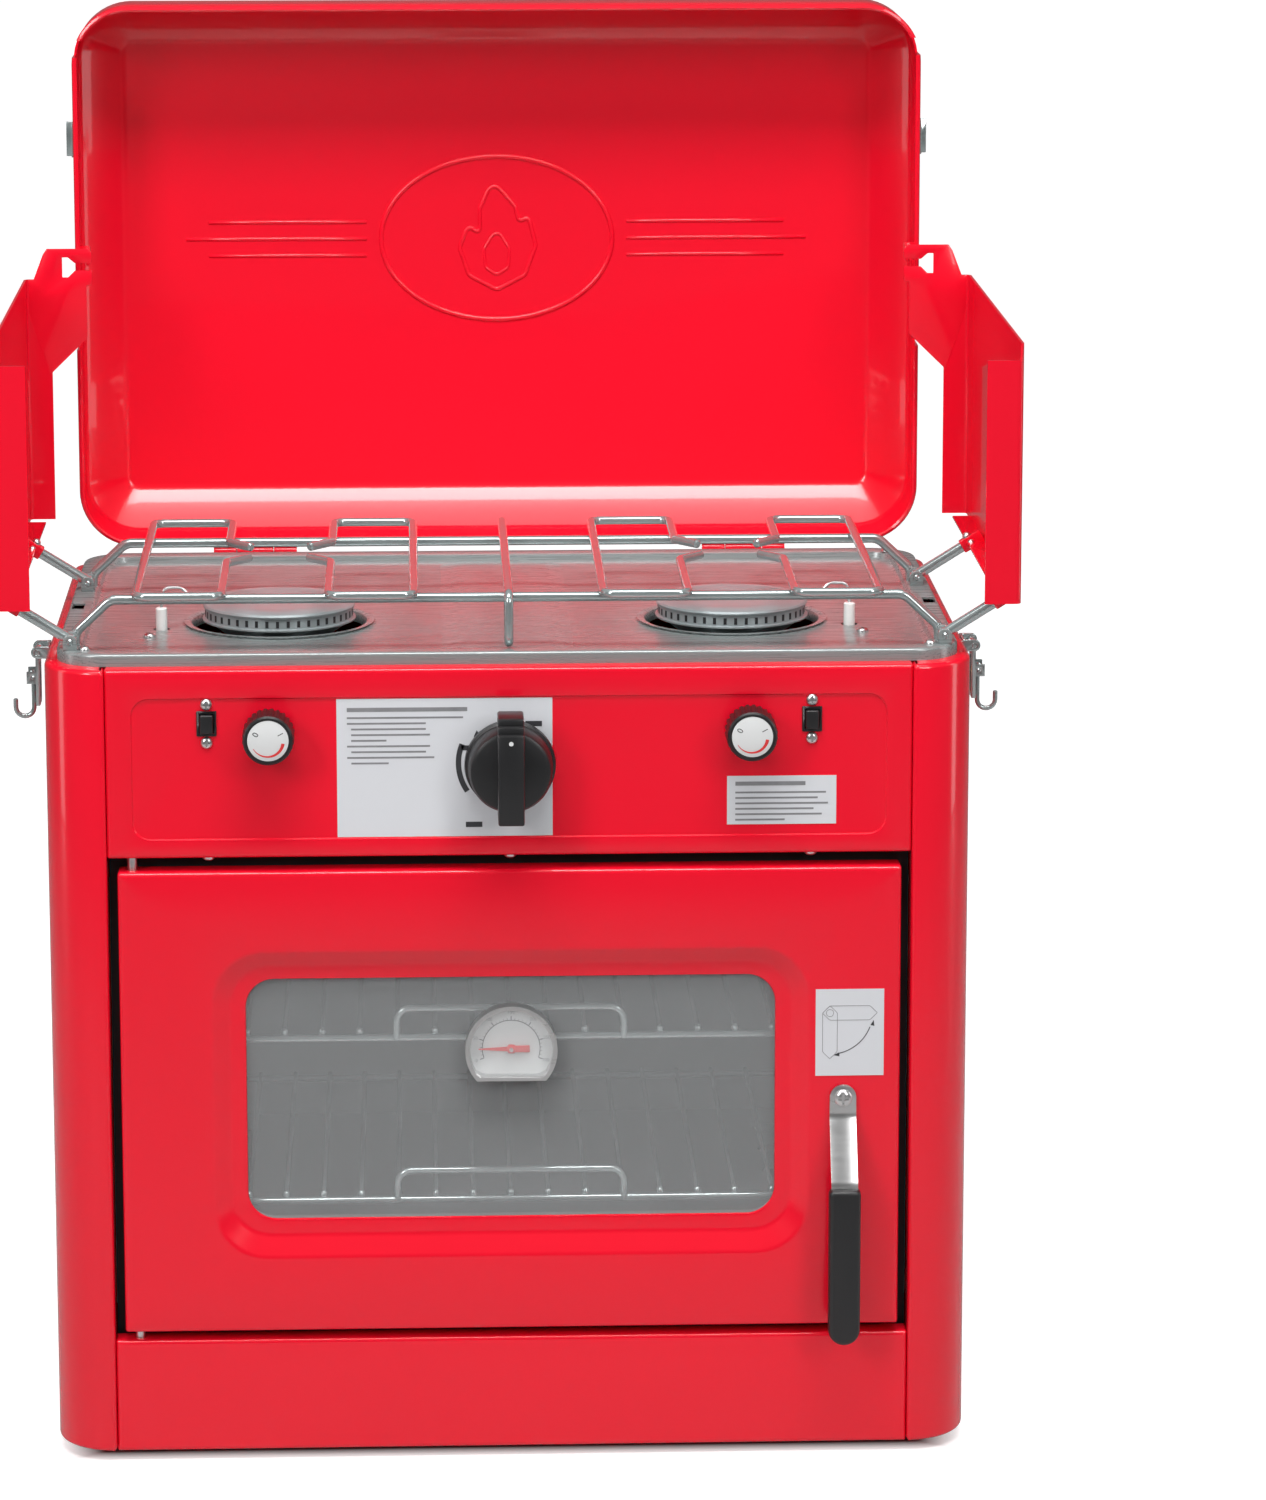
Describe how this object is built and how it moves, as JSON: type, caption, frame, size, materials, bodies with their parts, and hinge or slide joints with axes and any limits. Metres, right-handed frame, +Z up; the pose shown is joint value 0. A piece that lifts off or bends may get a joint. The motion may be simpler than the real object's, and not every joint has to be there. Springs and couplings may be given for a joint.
{
  "type": "camp stove",
  "caption": "Camp stove with gas burners under a wire grate, an oven with a glass door below, a tray lid and folding wind shields.",
  "frame": {"origin": "middle of the whole stove's width and depth with the lid open and the door shut, on the plane the feet stand on", "axes": "+X to the right seen from the front, +Y to the back, +Z up"},
  "size_m": [0.496, 0.385, 0.692],
  "materials": {
    "red_paint": "glossy powder coat",
    "hob_steel": "brushed",
    "chrome_wire": "bright plated wire",
    "plain_steel": "plain sheet",
    "burner_metal": "cast and turned",
    "brass": "turned",
    "zinc": "zinc plated fasteners",
    "black_plastic": "moulded",
    "black_rubber": "moulded",
    "ceramic_white": "glazed",
    "window_glass": "clear",
    "gauge_face": "printed white",
    "needle_red": "satin"
  },
  "bodies": {
    "cabinet": {"casing": "red_paint", "base_pan": "red_paint", "rubber_feet": "black_rubber", "kick_panel": "red_paint", "control_panel": "red_paint", "hob_pan": "hob_steel", "panel_screws": "zinc", "hob_screws": "zinc", "pot_grate": "chrome_wire", "hob_clips": "hob_steel", "burner_bowls": "burner_metal", "burner_caps": "burner_metal", "mixer_tubes": "plain_steel", "burner_valves": "brass", "oven_valve": "brass", "gas_manifold": "plain_steel", "gas_inlet": "brass", "electrodes": "ceramic_white", "igniter_housings": "black_plastic", "heat_shield": "plain_steel", "oven_liner": "plain_steel", "oven_baffle": "plain_steel", "oven_burner": "plain_steel", "thermocouple": "brass", "upper_rack": "chrome_wire", "lower_rack": "chrome_wire", "door_pins": "zinc", "hinge_leaves": "red_paint", "hinge_pins": "zinc", "latch_bases": "chrome_wire"},
    "lid": {"lid_shell": "red_paint", "lid_leaves": "red_paint", "lid_tabs": "red_paint", "lid_keepers": "chrome_wire"},
    "left_wind_shield": {"left_shield": "red_paint", "left_stays": "chrome_wire"},
    "right_wind_shield": {"right_shield": "red_paint", "right_stays": "chrome_wire"},
    "oven_door": {"door_skin": "red_paint", "door_liner": "plain_steel", "door_glass": "window_glass", "glass_frame": "plain_steel", "gauge_case": "zinc", "gauge_dial": "gauge_face", "gauge_lens": "window_glass"},
    "needle": {"gauge_needle": "needle_red"},
    "door_handle": {"handle_arm": "chrome_wire", "handle_grip": "black_plastic", "handle_cam": "zinc"},
    "left_burner_knob": {"left_knob": "black_plastic"},
    "right_burner_knob": {"right_knob": "black_plastic"},
    "oven_valve_stem": {"oven_stem": "brass"},
    "oven_dial": {"oven_knob": "black_plastic"},
    "left_igniter": {"left_button": "black_plastic"},
    "right_igniter": {"right_button": "black_plastic"},
    "left_latch_lever": {"left_lever": "chrome_wire"},
    "left_latch_hook": {"left_hook": "chrome_wire"},
    "right_latch_lever": {"right_lever": "chrome_wire"},
    "right_latch_hook": {"right_hook": "chrome_wire"}
  },
  "joints": [
    {"name": "lid_hinge", "type": "hinge", "parent": "cabinet", "child": "lid", "pos_m": [0, 0.138, 0.4025], "axis": [1, 0, 0], "range_deg": [0, 90]},
    {"name": "left_shield_fold", "type": "hinge", "parent": "cabinet", "child": "left_wind_shield", "pos_m": [-0.212, -0.0115, 0.408], "axis": [0, 1, 0], "range_deg": [0, 90]},
    {"name": "right_shield_fold", "type": "hinge", "parent": "cabinet", "child": "right_wind_shield", "pos_m": [0.212, -0.0115, 0.408], "axis": [0, -1, 0], "range_deg": [0, 90]},
    {"name": "door_hinge", "type": "hinge", "parent": "cabinet", "child": "oven_door", "pos_m": [-0.183, -0.1495, 0.18], "axis": [0, 0, -1], "range_deg": [0, 105]},
    {"name": "handle_turn", "type": "hinge", "parent": "oven_door", "child": "door_handle", "pos_m": [0.162, -0.1575, 0.183], "axis": [0, -1, 0], "range_deg": [0, 90]},
    {"name": "needle_turn", "type": "hinge", "parent": "oven_door", "child": "needle", "pos_m": [0, -0.1545, 0.208], "axis": [0, 1, 0], "range_deg": [0, 170]},
    {"name": "left_knob_turn", "type": "hinge", "parent": "cabinet", "child": "left_burner_knob", "pos_m": [-0.116, -0.1615, 0.367], "axis": [0, -1, 0], "range_deg": [0, 180]},
    {"name": "right_knob_turn", "type": "hinge", "parent": "cabinet", "child": "right_burner_knob", "pos_m": [0.116, -0.1615, 0.367], "axis": [0, -1, 0], "range_deg": [0, 180]},
    {"name": "oven_knob_turn", "type": "hinge", "parent": "cabinet", "child": "oven_valve_stem", "pos_m": [0, -0.1615, 0.351], "axis": [0, -1, 0], "range_deg": [0, 180]},
    {"name": "oven_knob_push", "type": "slide", "parent": "oven_valve_stem", "child": "oven_dial", "axis": [0, 1, 0], "range_m": [0, 0.003], "stiffness_N_per_m": 900},
    {"name": "left_igniter_push", "type": "slide", "parent": "cabinet", "child": "left_igniter", "axis": [0, 1, 0], "range_m": [0, 0.003], "stiffness_N_per_m": 700},
    {"name": "right_igniter_push", "type": "slide", "parent": "cabinet", "child": "right_igniter", "axis": [0, 1, 0], "range_m": [0, 0.003], "stiffness_N_per_m": 700},
    {"name": "left_lever_turn", "type": "hinge", "parent": "cabinet", "child": "left_latch_lever", "pos_m": [-0.231, -0.0815, 0.394], "axis": [0, 1, 0], "range_deg": [0, 60]},
    {"name": "left_hook_turn", "type": "hinge", "parent": "left_latch_lever", "child": "left_latch_hook", "pos_m": [-0.2335, -0.0815, 0.381], "axis": [0, 1, 0], "range_deg": [0, 120]},
    {"name": "right_lever_turn", "type": "hinge", "parent": "cabinet", "child": "right_latch_lever", "pos_m": [0.231, -0.0815, 0.394], "axis": [0, -1, 0], "range_deg": [0, 60]},
    {"name": "right_hook_turn", "type": "hinge", "parent": "right_latch_lever", "child": "right_latch_hook", "pos_m": [0.2335, -0.0815, 0.381], "axis": [0, -1, 0], "range_deg": [0, 120]}
  ]
}
